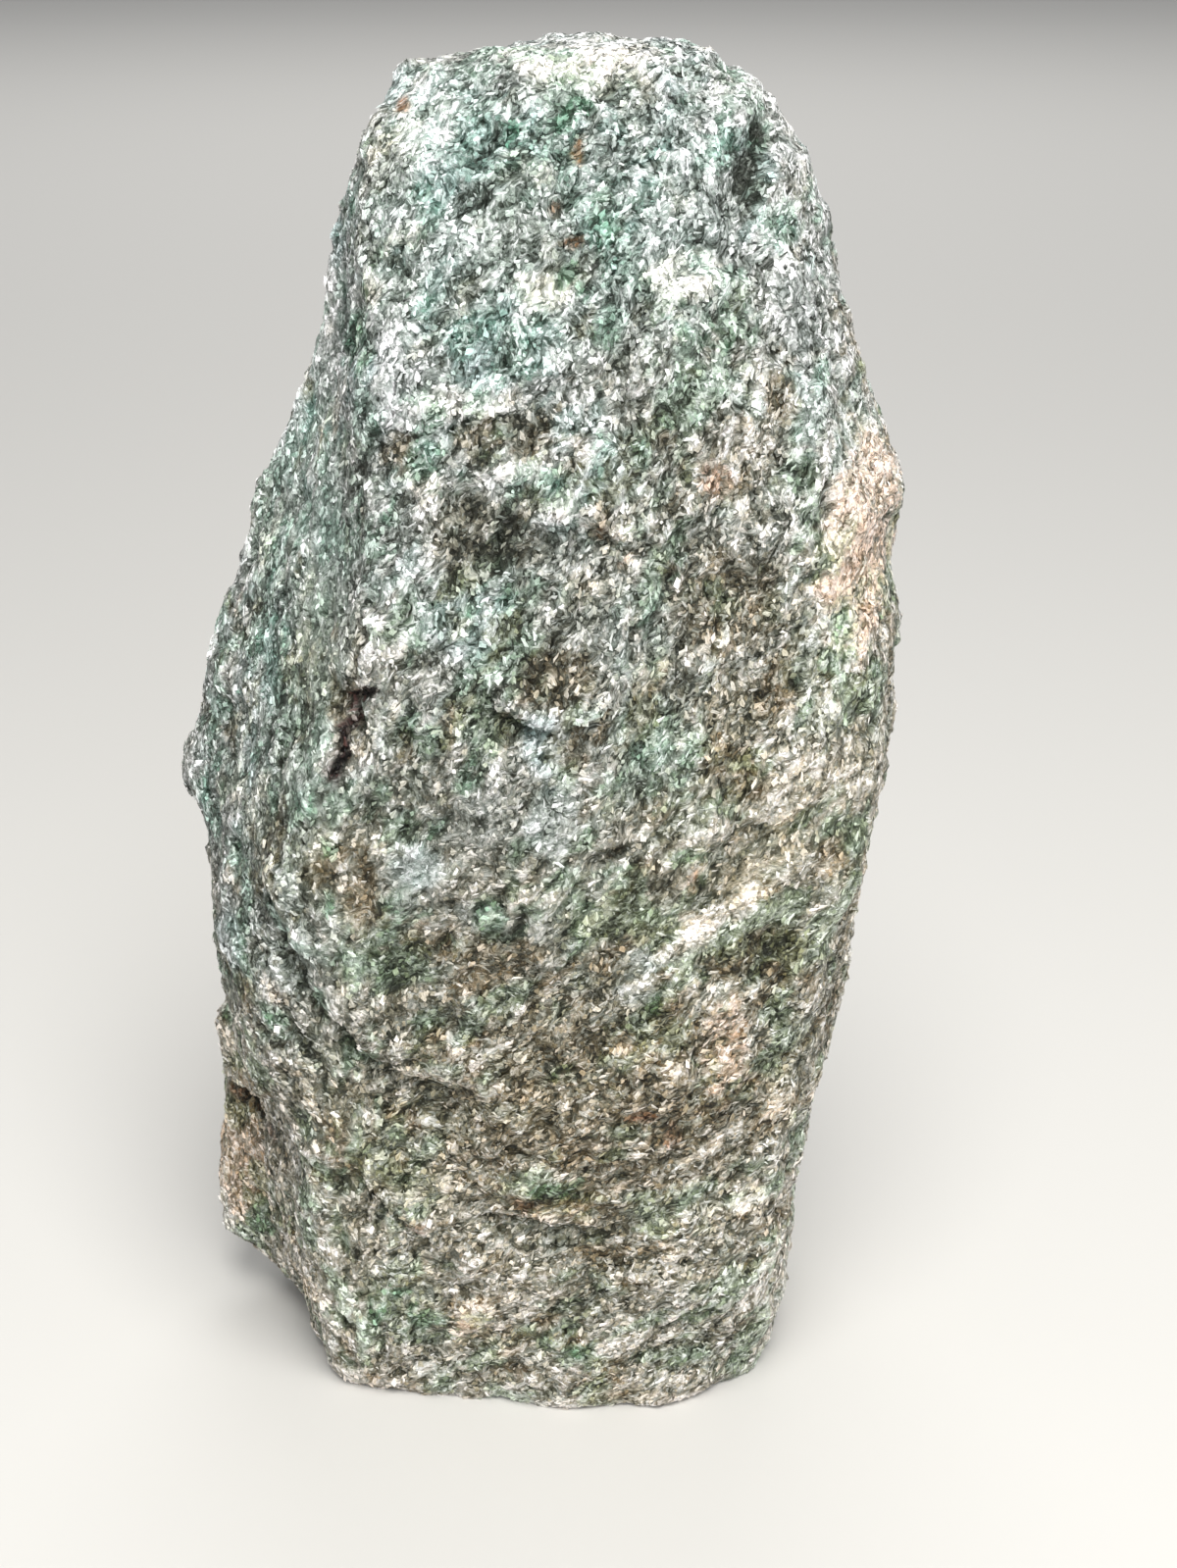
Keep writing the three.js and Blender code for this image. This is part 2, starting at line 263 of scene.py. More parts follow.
# The mica's tone runs from 0 for the darkest gaps to 1 for the brightest flakes. Stains change it this much.
MEAN_TONE = 0.51
PALE_TONE = 0.26
# The dark patches' tone holds painted shade as well as the rock's dark colour.
DARK_AND_SHADED_TONE = -0.22
STAIN_TONES = {"cream": 0.12, "teal": 0.05, "tan": 0.35, "warm": 0.02, "emerald": -0.08, "brown": -0.06}

# Painted shade: how much darker a hollow is painted for each millimetre of its depth below a surface smoothed
# by this many rounds. A crest above that surface is painted lighter by as much, as painted light.
HOLLOW_PAINTED_SHADE = [(0.32, 4), (0.1, 24), (0.03, 120)]

# How much the fibres and each grain's own share change the tone, and what is taken off to keep its mean.
SCHIST_CONTRAST = {"fibre": 2.0, "grain": 0.45, "taken off": 1.27}
FLAKE_CONTRAST = {"fibre": 0.7, "grain": 0.6, "taken off": 0.62}

# Mica's pearly gloss. The fine fibres scatter part of it, so its level is below a clear crystal's.
MICA_IOR = 1.58
MICA_GLOSS = 0.3
MICA_ROUGHNESS = (0.28, 0.6)

# The lean of the fine grain between the flakes, in degrees, and the region that has it over the ones
# before it. A grain is 0.8 mm wide and 1.9 mm long, and it bends by a few millimetres every 8 mm. Real
# fibres are too fine to show, so they are drawn as streaks 1.5 mm wide with finer ones inside them.
GRAIN_LEANS = [
    (28, "anywhere"),
    (62, "lower"),
    (-12, "left"),
]
GRAIN_SHAPE = (1 / 0.8, 1 / 0.8, 1 / 1.9)
GRAIN_BEND = (11, 11, 11)
BENDS_PER_MM = 0.13
FIBRE_SCALE = 0.55
GRAIN_TILT = (0.7, 0.7, 0.7)
FIBRE_BUMP = 2.2
FLAKE_BUMP = 0.4

# One mica flake, a millimetre long: its uneven corners, and how far its middle stands out on both sides.
FLAKE_CORNERS = [(0.5, 0.09, 0.03), (-0.24, 0.25, -0.05), (-0.5, -0.06, 0.02), (0.2, -0.26, -0.04)]
FLAKE_BULGE = 0.1

# The inputs of the flakes' geometry nodes. Sizes are a flake's length, width and thickness.
FLAKE_SETTINGS = {
    "Density": "NodeSocketFloat",
    "Seed": "NodeSocketInt",
    "Smallest": "NodeSocketVector",
    "Largest": "NodeSocketVector",
    "Lean": "NodeSocketVector",
}

# Each size of flake: how many to the square metre, its smallest and largest length, width and thickness over
# those of the one flake shape, and how far it leans either way in radians: rolled, pitched and turned.
FLAKES = {
    "fine_flakes": (205_000.0, (0.5, 0.9, 0.6), (1.2, 2.0, 1.4), (0.45, 0.45, 1.5)),
    "small_flakes": (205_000.0, (0.7, 1.0, 0.8), (1.6, 2.4, 1.6), (0.38, 0.38, 1.2)),
    "slender_flakes": (140_000.0, (1.0, 0.8, 0.8), (2.6, 1.7, 1.6), (0.32, 0.3, 0.7)),
    "broad_flakes": (150_000.0, (1.1, 1.6, 1.0), (2.4, 3.4, 2.2), (0.28, 0.28, 1.0)),
    "silver_flakes": (120_000.0, (0.5, 0.9, 1.0), (1.2, 1.9, 1.8), (0.6, 0.6, 1.3)),
}

# The camera stands where the photo was taken from, and looks along +Y and down by these degrees.
CAMERA_PLACE = (0.011, -0.442, 0.3136)
CAMERA_DOWN = 22.8
LENS = 51.78
SENSOR_WIDTH = 36

# Soft studio lights: place, what each one is turned to, size, watts and colour.
LIGHTS = {
    "overhead light": ((0.1, -0.55, 1.2), (0, 0, 0.12), 0.8, 21, "#fffefc"),
    "front light": ((0.3, -1.1, 0.45), (0, 0, 0.1), 0.8, 7, "#f6f8ff"),
    "background light": ((0, 2.2, 2.4), (0, 2.6, 0), 2.0, 45, "#ffffff"),
}
ROOM_LIGHT = ("#e8eaee", 0.45)
FLOOR_COLOUR = "#c4c2bd"
FLOOR_REACH = 7.0


def over(low, high, values):
    """A smooth rise from 0 at low to 1 at high."""
    share = np.clip((values - low) / (high - low), 0, 1)
    return share * share * (3 - 2 * share)


def swells(places, wavelength, seed):
    """Smooth noise from about -1 to 1 at each place, with this many millimetres between swells."""
    shift = Vector((seed, 2 * seed, -seed))
    return np.array([noise.noise(Vector(place) / wavelength + shift) for place in places.tolist()])


def grain_lean(places):
    """The grain's lean at each place, in degrees to the right of vertical."""
    lean = np.interp(places[:, 2], LEAN_HEIGHTS, LEANS)
    flank = 1 - over(-48, -24, places[:, 0])
    low = 1 - over(95, 145, places[:, 2])
    side_lean = FLANK_LEAN + (LOW_LEFT_LEAN - FLANK_LEAN) * low
    return lean + (side_lean - lean) * flank


def along_grain(places, lean):
    """Places turned to a grain of this lean, and shortened along it by the streaks' stretch."""
    angle = np.radians(lean)
    across = places[:, 0] * np.cos(angle) - places[:, 2] * np.sin(angle)
    along = places[:, 0] * np.sin(angle) + places[:, 2] * np.cos(angle)
    return np.stack([across, places[:, 1], along / GRAIN_STRETCH], axis=1)


def grain_noise(places, wavelength, seed, crests=False):
    """Noise that is stretched along the grain. With crests it has sharp crests and round hollows."""
    leans = grain_lean(places)
    total = np.zeros(len(places))
    for lean in MAIN_LEANS:
        share = np.clip(1 - np.abs(leans - lean) / LEAN_GAP, 0, 1)
        near = np.nonzero(share)[0]
        value = swells(along_grain(places[near], lean), wavelength, seed)
        total[near] += share[near] * (0.5 - 2 * np.abs(value) if crests else value)
    return total


def chips(places, width, seed):
    """Each place's chip: the chip's three random shares from -0.5 to 0.5, and the way from its middle."""
    leans = grain_lean(places)
    nearest = np.abs(leans[:, None] - np.array(MAIN_LEANS)).argmin(axis=1)
    turned = along_grain(places, np.array(MAIN_LEANS)[nearest]) / width + seed
    shares = np.empty((len(places), 3))
    away = np.empty((len(places), 3))
    for i, place in enumerate(turned.tolist()):
        place = Vector(place)
        place += CHIP_RAGGED * noise.noise_vector(place * 3)
        middle = noise.voronoi(place)[1][0]
        shares[i] = noise.cell_vector(middle * 1000)
        away[i] = place - middle
    return shares - 0.5, away


def chip_relief(places):
    """Small broken faces, each at its own height and tilt."""
    relief = np.zeros(len(places))
    for chip in CHIPS:
        shares, away = chips(places, chip["width"], chip["seed"])
        height = 2 * chip["height"] * shares[:, 0]
        relief += chip["width"] * (height + chip["tilt"] * (shares * away).sum(axis=1))
    return relief


def beside(line, places):
    """How far each place is from a line on the front, and how far it is to the line's left."""
    nearest = np.full(len(places), np.inf)
    left = np.zeros(len(places))
    for (x0, z0), (x1, z1) in zip(line, line[1:]):
        length = math.hypot(x1 - x0, z1 - z0)
        x = places[:, 0] - x0
        z = places[:, 2] - z0
        along = (x * (x1 - x0) + z * (z1 - z0)) / length
        side = (z * (x1 - x0) - x * (z1 - z0)) / length
        distance = np.hypot(side, along - np.clip(along, 0, length))
        closer = distance < nearest
        nearest = np.where(closer, distance, nearest)
        left = np.where(closer, side, left)
    return nearest, left


def layer_steps(places):
    """Low steps where the surface cuts across the bent layers, clear in some places and lost in others."""
    depth = places @ np.array(LAYER_ACROSS)
    for bend, width, seed in LAYER_BENDS:
        depth += bend * swells(places, width, seed)
    share = depth / LAYER - np.floor(depth / LAYER)
    clear = over(-0.2, 0.3, swells(places, 16, 7))
    return LAYER * LAYER_STEP * clear * (over(0.3, 0.7, share) - share)


def grain_relief(places):
    """Crumpled ridges and flakes that run along the grain."""
    height, width, seed = ROUGHNESS
    relief = height * swells(places, width, seed)
    for height, width, seed in GRAIN_RIDGES:
        relief += height * grain_noise(places, width, seed, crests=True)
    return relief


def edge_relief(places, front):
    """Lips and hollows along the broken edges."""
    wander = 1.6 * swells(places, 7, 17)
    relief = np.zeros(len(places))
    for edge in EDGES:
        distance, left = beside(edge["line"], places)
        fade = front * np.exp(-((distance / edge["reach"]) ** 2))
        above = over(-0.9, 0.9, left + wander)
        relief += fade * (edge["rise"] * above - edge["sink"] * (1 - above))
    return relief


def crack_relief(places, front):
    """Narrow cracks, which come to a ragged point at their ends."""
    wander = 0.7 * swells(places, 5, 19)
    relief = np.zeros(len(places))
    for crack in CRACKS:
        distance, _ = beside(crack["line"], places)
        relief -= front * crack["depth"] * np.exp(-(((distance + wander) / crack["width"]) ** 2))
    return relief


def pit_relief(places):
    """Small pits where grains have fallen out."""
    return -PIT_DEPTH * over(0.45, 0.7, swells(places, 6.5, 23) + 0.35 * swells(places, 2.4, 24))


def patches(places, front, table):
    """How strongly each place lies in the patches of a table, from 0."""
    ragged = 1 + 0.55 * swells(places, 6, 29) + 0.35 * swells(places, 2.8, 31)
    amount = np.zeros(len(places))
    for x, z, across, up, strength in table:
        away = ((places[:, 0] - x) / across) ** 2 + ((places[:, 2] - z) / up) ** 2
        amount += front * strength * over(0.2, 0.55, np.exp(-away * ragged))
    return amount


def places_of(mesh):
    places = np.empty(3 * len(mesh.vertices), np.float32)
    mesh.vertices.foreach_get("co", places)
    return places.reshape(-1, 3).astype(float) / MM


def normals_of(mesh):
    normals = np.empty(3 * len(mesh.vertices), np.float32)
    mesh.vertices.foreach_get("normal", normals)
    return normals.reshape(-1, 3).astype(float)


def new_piece(name, mesh):
    piece = bpy.data.objects.new(name, mesh)
    bpy.context.scene.collection.objects.link(piece)
    return piece


def apply_modifiers(piece):
    """Turns a piece's mesh into what its modifiers make of it."""
    bpy.context.view_layer.update()
    shown = piece.evaluated_get(bpy.context.evaluated_depsgraph_get())
    made = bpy.data.meshes.new_from_object(shown)
    made.name = piece.name
    piece.modifiers.clear()
    piece.data = made


def merged_copy(node, name):
    """A copy of a solid's mesh with its loose triangles joined."""
    mesh = node.data.copy()
    mesh.name = name
    mesh.materials.clear()
    work = bmesh.new()
    work.from_mesh(mesh)
    bmesh.ops.remove_doubles(work, verts=work.verts, dist=MERGE_DISTANCE * MM)
    work.to_mesh(mesh)
    work.free()
    return mesh


def smooth_fine_block():
    """The solid's shape in a fine even mesh, with its facets smoothed and its base left flat."""
    block = new_piece("schist_block", merged_copy(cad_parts["boulder"], "schist_block"))
    remesh = block.modifiers.new("fine mesh", "REMESH")
    remesh.mode = "VOXEL"
    remesh.voxel_size = MESH_SPACING * MM
    apply_modifiers(block)
    heights = places_of(block.data)[:, 2]
    free = block.vertex_groups.new(name="above the base")
    free.add(np.nonzero(heights > 1.5 * MESH_SPACING)[0].tolist(), 1.0, "REPLACE")
    smooth = block.modifiers.new("no facets", "SMOOTH")
    smooth.factor = 0.5
    smooth.iterations = FACET_SMOOTHING
    smooth.vertex_group = free.name
    apply_modifiers(block)
    return block


def break_surface(block):
    """Moves the surface in and out into broken schist."""
    mesh = block.data
    places = places_of(mesh)
    normals = normals_of(mesh)
    front = over(0.05, 0.5, -normals[:, 1])
    relief = layer_steps(places) + grain_relief(places) + chip_relief(places) + pit_relief(places)
    for height, width, seed in SWELLS:
        relief += height * swells(places, width, seed)
    relief += edge_relief(places, front) + crack_relief(places, front)
    free = over(BASE_KEPT_FLAT, BASE_FADE, places[:, 2])
    moved = places + normals * (relief * free)[:, None]
    moved[:, 2] = np.maximum(moved[:, 2], 0)
    mesh.vertices.foreach_set("co", (moved * MM).astype(np.float32).ravel())
    mesh.update()


def hollows(mesh, rounds):
    """How far each place lies below the smoothed surface round it, in millimetres."""
    places = places_of(mesh)
    ends = np.empty(2 * len(mesh.edges), np.int32)
    mesh.edges.foreach_get("vertices", ends)
    first, second = ends.reshape(-1, 2).T
    count = np.bincount(ends, minlength=len(places))[:, None]
    even = places.copy()
    for _ in range(rounds):
        total = np.empty_like(even)
        for i in range(3):
            total[:, i] = np.bincount(first, even[second, i], len(places))
            total[:, i] += np.bincount(second, even[first, i], len(places))
        even = (even + total / count) / 2
    return ((even - places) * normals_of(mesh)).sum(axis=1)


def stain_amounts(places, front):
    """How strongly each stain shows at each place, from 0 to 1."""
    x, _, z = places.T
    low = over(225, 60, z)
    flank = (1 - over(-55, -30, x)) * over(70, 120, z)
    right = over(5, 45, x) * over(240, 205, z)
    cool = patches(places, front, COOL)
    warm = 0.12 + low * (1 - 0.7 * flank) + 0.5 * right + 0.4 * swells(places, 18, 40) - 0.7 * cool
    amounts = {"warm": warm}
    for name, threshold, table, seed in STAINS:
        own = chips(places, 3.4, seed)[0][:, 0]
        mottle = 0.6 * grain_noise(places, 6.5, seed) + 0.5 * swells(places, 17, seed + 1) + 0.45 * own
        amounts[name] = over(threshold, threshold + 0.2, mottle) + patches(places, front, table)
    amounts["teal"] *= 1 - 0.5 * low
    amounts["green"] *= 1 - cool
    for name in ("brown", "tan"):
        amounts[name] *= 0.4 + 0.6 * over(250, 215, z)
    from_crack, _ = beside(CRACKS[0]["line"], places)
    amounts["maroon"] = front * over(1.7, 0.5, from_crack + swells(places, 3, 65))
    return {name: np.clip(amount, 0, 1) for name, amount in amounts.items()}


def mica_tone(mesh, places, front, amounts):
    """How light the mica is at each place, from 0 to 1, with painted shade and painted light in it."""
    x, _, z = places.T
    # Painted shade and light: the middle is painted darker where less light reaches it, the upper left flank
    # lighter for light from the left, and the foot lighter for light bounced from the floor.
    tone = MEAN_TONE - 0.07 * over(215, 185, z) * over(30, 80, z)  # the middle is darker
    tone += 0.05 * over(25, 50, x)  # the right side is lighter
    tone += 0.11 * over(-30, -42, x) * over(145, 185, z)  # so is the upper left flank
    tone += 0.04 * over(45, 25, z)  # and the foot
    tone += PALE_TONE * patches(places, front, PALE + COOL)
    # Painted shade, with dark rock, in the dark patches.
    tone += DARK_AND_SHADED_TONE * patches(places, front, DARK_AND_SHADED)
    for name, change in STAIN_TONES.items():
        tone += change * amounts[name]
    tone += 0.08 * grain_noise(places, 11, 45) + 0.11 * grain_noise(places, 4.5, 46)
    tone += 0.1 * swells(places, 3.2, 47)
    tone += 0.3 * chips(places, 2.2, 48)[0][:, 0] + 0.1 * chips(places, 5.5, 49)[0][:, 0]
    # Painted shade in the hollows and painted light on the crests.
    painted_shade = sum(darker * hollows(mesh, rounds) for darker, rounds in HOLLOW_PAINTED_SHADE)
    return tone - np.clip(painted_shade, -0.35, 0.4)


def grain_way(places):
    """The way that a flake lies at each place: along the grain, which swirls a little."""
    lean = grain_lean(places)
    for turn, width, seed in LEAN_SWIRLS:
        lean = lean + turn * swells(places, width, seed)
    lean = np.radians(lean)
    return np.stack([np.sin(lean), np.zeros(len(lean)), np.cos(lean)], axis=1)


def paint_surface(block):
    """Keeps how light each place is, how strongly it is stained, and which way its grain runs."""
    mesh = block.data
    places = places_of(mesh)
    front = over(0.05, 0.5, -normals_of(mesh)[:, 1])
    amounts = stain_amounts(places, front)
    amounts["tone"] = mica_tone(mesh, places, front, amounts)
    amounts["anywhere"] = np.ones(len(places))
    amounts["lower"] = 1 - over(95, 165, places[:, 2])
    amounts["left"] = 1 - over(-50, -30, places[:, 0])
    for name, amount in amounts.items():
        attribute = mesh.attributes.new(name, "FLOAT", "POINT")
        attribute.data.foreach_set("value", amount.astype(np.float32))
    grain = mesh.attributes.new("grain", "FLOAT_VECTOR", "POINT")
    grain.data.foreach_set("vector", grain_way(places).astype(np.float32).ravel())


def linear(hex_colour):
    """An sRGB hex colour as linear red, green, blue and alpha."""
    parts = [int(hex_colour[i : i + 2], 16) / 255 for i in (1, 3, 5)]
    return (*[c / 12.92 if c <= 0.04045 else ((c + 0.055) / 1.055) ** 2.4 for c in parts], 1.0)


def add(tree, kind, inputs=None, stops=None, **settings):
    """Adds a node. An input has a value, or the node or socket that feeds it. Stops are a ramp's colours."""
    node = tree.nodes.new(kind)
    for name, value in settings.items():
        setattr(node, name, value)
    for name, value in (inputs or {}).items():
        if isinstance(value, bpy.types.Node):
            value = value.outputs[0]
        if isinstance(value, bpy.types.NodeSocket):
            tree.links.new(value, node.inputs[name])
        else:
            node.inputs[name].default_value = value
    if stops:
        ramp = node.color_ramp
        for place, _ in stops[2:]:
            ramp.elements.new(place)
        for element, (place, colour) in zip(ramp.elements, stops):
            element.position = place
            element.color = linear(colour)
    return node


def new_material(name):
    material = bpy.data.materials.new(name)
    material.use_nodes = True
    material.node_tree.nodes.clear()
    return material, material.node_tree


def uneven_tone(tree, fibre, own, contrast):
    """The tone of a place from 0 to 1, changed by its fibres and by its grain's own random share."""
    grain = add(tree, "ShaderNodeSeparateXYZ", {0: own}).outputs["X"]
    tone = add(tree, "ShaderNodeAttribute", attribute_name="tone").outputs["Fac"]
    tone = add(tree, "ShaderNodeMath", {0: fibre, 1: contrast["fibre"], 2: tone}, operation="MULTIPLY_ADD")
    tone = add(tree, "ShaderNodeMath", {0: grain, 1: contrast["grain"], 2: tone}, operation="MULTIPLY_ADD")
    taken_off = contrast["taken off"]
    return add(tree, "ShaderNodeMath", {0: tone, 1: taken_off}, operation="SUBTRACT", use_clamp=True)


def mica_colour(tree, tone, own):
    """Mica of this tone in the stains of its place. Its own random share makes them uneven."""
    uneven = add(tree, "ShaderNodeSeparateXYZ", {0: own}).outputs["Y"]
    uneven = add(tree, "ShaderNodeMath", {0: uneven, 1: 0.5}, operation="ADD")
    colour = add(tree, "ShaderNodeValToRGB", {0: tone}, stops=SHADES).outputs[0]
    for name, (tint, weaker) in TINTS.items():
        strength = add(tree, "ShaderNodeAttribute", attribute_name=name).outputs["Fac"]
        faded = add(tree, "ShaderNodeMath", {0: tone, 1: -weaker, 2: 1.0}, operation="MULTIPLY_ADD")
        share = add(tree, "ShaderNodeMath", {0: strength, 1: uneven}, operation="MULTIPLY")
        share = add(tree, "ShaderNodeMath", {0: share, 1: faded}, operation="MULTIPLY", use_clamp=True)
        mix = add(
            tree,
            "ShaderNodeMix",
            {0: share, 6: colour, 7: linear(tint)},
            data_type="RGBA",
            blend_type="MULTIPLY",
        )
        colour = mix.outputs[2]
    return colour


def mica_shader(tree, colour, own, normal):
    """Pearly mica, some of it shinier than the rest."""
    share = add(tree, "ShaderNodeSeparateXYZ", {0: own}).outputs["Z"]
    smoothest, roughest = MICA_ROUGHNESS
    roughness = add(tree, "ShaderNodeMapRange", {"Value": share, "To Min": smoothest, "To Max": roughest})
    shader = add(
        tree,
        "ShaderNodeBsdfPrincipled",
        {
            "Base Color": colour,
            "Roughness": roughness,
            "IOR": MICA_IOR,
            "Specular IOR Level": MICA_GLOSS,
            "Normal": normal,
        },
    )
    add(tree, "ShaderNodeOutputMaterial", {"Surface": shader})


def schist_material():
    """Broken schist: packed fibres and grains of mica that follow the grain, each grain at its own tilt."""
    material, tree = new_material("broken fuchsite schist")
    place = add(tree, "ShaderNodeTexCoord").outputs["Object"]
    in_mm = add(tree, "ShaderNodeVectorMath", {0: place, "Scale": 1 / MM}, operation="SCALE")
    bend = add(tree, "ShaderNodeTexNoise", {"Vector": in_mm, "Scale": BENDS_PER_MM, "Detail": 3.0})
    bend = bend.outputs["Color"]
    bent = add(tree, "ShaderNodeVectorMath", {0: bend, 1: GRAIN_BEND, 2: in_mm}, operation="MULTIPLY_ADD")
    own = (0.5, 0.5, 0.5, 1)
    fibre = 0.5
    for lean, region in GRAIN_LEANS:
        share = add(tree, "ShaderNodeAttribute", attribute_name=region).outputs["Fac"]
        angle = math.radians(-lean)
        turned = add(
            tree, "ShaderNodeVectorRotate", {"Vector": bent, "Angle": angle}, rotation_type="Y_AXIS"
        )
        along = add(tree, "ShaderNodeVectorMath", {0: turned, 1: GRAIN_SHAPE}, operation="MULTIPLY")
        cells = add(tree, "ShaderNodeTexVoronoi", {"Vector": along, "Scale": 1.0}).outputs["Color"]
        own = add(tree, "ShaderNodeMix", {0: share, 6: own, 7: cells}, data_type="RGBA").outputs[2]
        fibres = add(
            tree,
            "ShaderNodeTexNoise",
            {
                "Vector": along,
                "Scale": FIBRE_SCALE,
                "Detail": 4.0,
                "Roughness": 0.7,
                "Distortion": 1.0,
            },
        )
        fibre = add(tree, "ShaderNodeMix", {0: share, 2: fibre, 3: fibres}, data_type="FLOAT")
    tone = uneven_tone(tree, fibre, own, SCHIST_CONTRAST)
    tilt = add(tree, "ShaderNodeVectorMath", {0: own, 1: (0.5, 0.5, 0.5)}, operation="SUBTRACT")
    normal = add(tree, "ShaderNodeBump", {"Height": fibre, "Strength": 1.0, "Distance": FIBRE_BUMP * MM})
    tilted = add(tree, "ShaderNodeVectorMath", {0: tilt, 1: GRAIN_TILT, 2: normal}, operation="MULTIPLY_ADD")
    normal = add(tree, "ShaderNodeVectorMath", {0: tilted}, operation="NORMALIZE")
    mica_shader(tree, mica_colour(tree, tone, own), own, normal)
    return material


def flake_material():
    """Loose-edged mica flakes: thin pearly plates of many shades, each split into fibres along it."""
    material, tree = new_material("fuchsite mica flakes")
    own = add(tree, "ShaderNodeAttribute", attribute_name="flake").outputs["Vector"]
    place = add(tree, "ShaderNodeAttribute", attribute_name="place_on_flake").outputs["Vector"]
    far_apart = (40, 40, 40)  # so that no two flakes show the same fibres
    apart = add(tree, "ShaderNodeVectorMath", {0: own, 1: far_apart, 2: place}, operation="MULTIPLY_ADD")
    fibre = add(tree, "ShaderNodeTexNoise", {"Vector": apart, "Scale": 1.0, "Detail": 2.0})
    tone = uneven_tone(tree, fibre, own, FLAKE_CONTRAST)
    normal = add(tree, "ShaderNodeBump", {"Height": fibre, "Strength": 0.8, "Distance": FLAKE_BUMP * MM})
    mica_shader(tree, mica_colour(tree, tone, own), own, normal)
    return material


def flake_shape():
    """One thin closed mica plate with four uneven corners, and the places on it that its fibres follow."""
    points = FLAKE_CORNERS + [(0, 0, FLAKE_BULGE), (0, 0, -FLAKE_BULGE)]
    top = [(i, (i + 1) % 4, 4) for i in range(4)]
    bottom = [((i + 1) % 4, i, 5) for i in range(4)]
    mesh = bpy.data.meshes.new("flake shape")
    mesh.from_pydata([[c * MM for c in point] for point in points], [], top + bottom)
    place = mesh.attributes.new("place_on_flake", "FLOAT_VECTOR", "POINT")
    for corner, (x, y, _) in enumerate(points):
        place.data[corner].vector = (2 * x, 9 * y, 0)
    return bpy.data.objects.new("flake shape", mesh)


def flakes_tree(shape, material):
    """Geometry nodes that lay flakes on a surface along its grain."""
    tree = bpy.data.node_groups.new("flakes along the grain", "GeometryNodeTree")
    face = tree.interface
    face.new_socket("Geometry", in_out="INPUT", socket_type="NodeSocketGeometry")
    for name, kind in FLAKE_SETTINGS.items():
        face.new_socket(name, in_out="INPUT", socket_type=kind)
    face.new_socket("Geometry", in_out="OUTPUT", socket_type="NodeSocketGeometry")
    given = add(tree, "NodeGroupInput").outputs
    spread = add(
        tree,
        "GeometryNodeDistributePointsOnFaces",
        {"Mesh": given["Geometry"], "Density": given["Density"], "Seed": given["Seed"]},
    )
    grain = add(tree, "GeometryNodeInputNamedAttribute", {"Name": "grain"}, data_type="FLOAT_VECTOR")
    flat = add(tree, "FunctionNodeAlignRotationToVector", {"Vector": spread.outputs["Normal"]}, axis="Z")
    along = add(
        tree,
        "FunctionNodeAlignRotationToVector",
        {"Rotation": flat, "Vector": grain},
        axis="X",
        pivot_axis="Z",
    )
    lean = add(
        tree,
        "FunctionNodeRandomValue",
        {0: (-1, -1, -1), 1: (1, 1, 1), "Seed": given["Seed"]},
        data_type="FLOAT_VECTOR",
    )
    lean = add(tree, "ShaderNodeVectorMath", {0: lean, 1: given["Lean"]}, operation="MULTIPLY")
    lean = add(tree, "FunctionNodeEulerToRotation", {0: lean})
    turned = add(
        tree, "FunctionNodeRotateRotation", {"Rotation": along, "Rotate By": lean}, rotation_space="LOCAL"
    )
    size = add(
        tree,
        "FunctionNodeRandomValue",
        {0: given["Smallest"], 1: given["Largest"], "Seed": given["Seed"]},
        data_type="FLOAT_VECTOR",
    )
    laid = add(
        tree,
        "GeometryNodeInstanceOnPoints",
        {
            "Points": spread,
            "Instance": add(tree, "GeometryNodeObjectInfo", {"Object": shape}).outputs["Geometry"],
            "Rotation": turned,
            "Scale": size,
        },
    )
    own = add(tree, "FunctionNodeRandomValue", {"Seed": given["Seed"]}, data_type="FLOAT_VECTOR")
    named = add(
        tree,
        "GeometryNodeStoreNamedAttribute",
        {"Geometry": laid, "Name": "flake", "Value": own},
        data_type="FLOAT_VECTOR",
        domain="INSTANCE",
    )
    real = add(tree, "GeometryNodeRealizeInstances", {0: named})
    done = add(tree, "GeometryNodeSetMaterial", {"Geometry": real, "Material": material})
    add(tree, "NodeGroupOutput", {0: done})
    return tree


def lay_flakes(block, name, tree, settings):
    """A piece of thousands of flakes on the block's surface."""
    piece = new_piece(name, block.data.copy())
    modifier = piece.modifiers.new("flakes", "NODES")
    modifier.node_group = tree
    sockets = {s.name: s.identifier for s in tree.interface.items_tree if s.in_out == "INPUT"}
    for key, value in settings.items():
        modifier[sockets[key]] = value
    apply_modifiers(piece)
    return piece


block = smooth_fine_block()
break_surface(block)
paint_surface(block)
block.data.materials.clear()
block.data.materials.append(schist_material())
block.data.polygons.foreach_set("use_smooth", [True] * len(block.data.polygons))

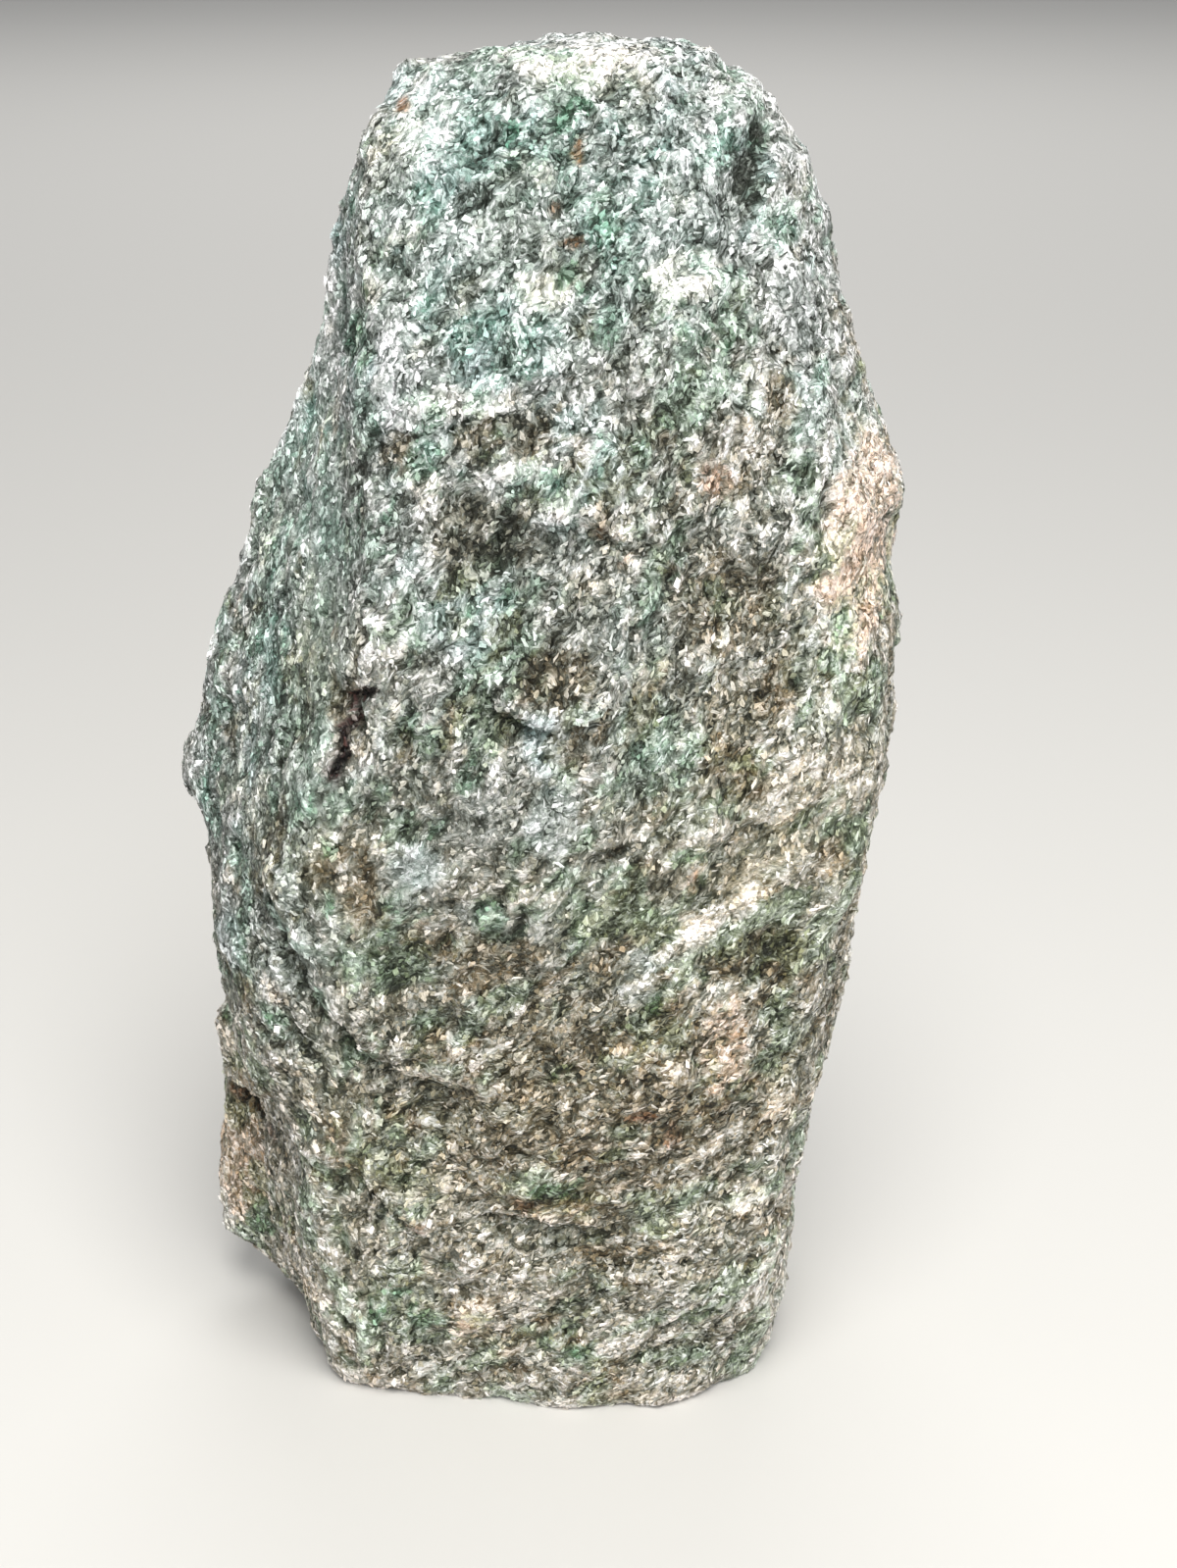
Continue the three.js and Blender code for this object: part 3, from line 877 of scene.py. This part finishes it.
tree = flakes_tree(flake_shape(), flake_material())
pieces = [block]
for seed, (name, (density, smallest, largest, lean)) in enumerate(FLAKES.items(), start=3):
    settings = {"Density": density, "Seed": seed, "Smallest": smallest, "Largest": largest, "Lean": lean}
    pieces.append(lay_flakes(block, name, tree, settings))

for piece in pieces:
    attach(piece, "root")
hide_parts("boulder")


def add_light(name, place, target, size, power, colour):
    light = bpy.data.lights.new(name, "AREA")
    light.shape = "DISK"
    light.size = size
    light.energy = power
    light.color = linear(colour)[:3]
    lamp = bpy.data.objects.new(name, light)
    lamp.location = place
    lamp.rotation_euler = (Vector(target) - Vector(place)).to_track_quat("-Z", "Y").to_euler()
    bpy.context.scene.collection.objects.link(lamp)


def add_floor():
    mesh = bpy.data.meshes.new("floor")
    corners = [(-1, -1, 0), (1, -1, 0), (1, 1, 0), (-1, 1, 0)]
    mesh.from_pydata([[FLOOR_REACH * c for c in corner] for corner in corners], [], [(0, 1, 2, 3)])
    floor = new_piece("floor", mesh)
    material, tree = new_material("pale matt floor")
    shader = add(tree, "ShaderNodeBsdfPrincipled", {"Base Color": linear(FLOOR_COLOUR), "Roughness": 0.8})
    add(tree, "ShaderNodeOutputMaterial", {"Surface": shader.outputs[0]})
    mesh.materials.append(material)


def add_camera():
    camera = bpy.data.cameras.new("camera")
    camera.lens = LENS
    camera.sensor_width = SENSOR_WIDTH
    holder = bpy.data.objects.new("camera", camera)
    holder.location = CAMERA_PLACE
    holder.rotation_euler = (math.radians(90 - CAMERA_DOWN), 0, 0)
    bpy.context.scene.collection.objects.link(holder)
    bpy.context.scene.camera = holder


def add_world():
    world = bpy.data.worlds.new("soft room light")
    world.use_nodes = True
    background = world.node_tree.nodes["Background"]
    colour, strength = ROOM_LIGHT
    background.inputs["Color"].default_value = linear(colour)
    background.inputs["Strength"].default_value = strength
    bpy.context.scene.world = world


add_floor()
add_camera()
add_world()
for name, (place, target, size, power, colour) in LIGHTS.items():
    add_light(name, place, target, size, power, colour)
bpy.context.scene.view_settings.view_transform = "Standard"
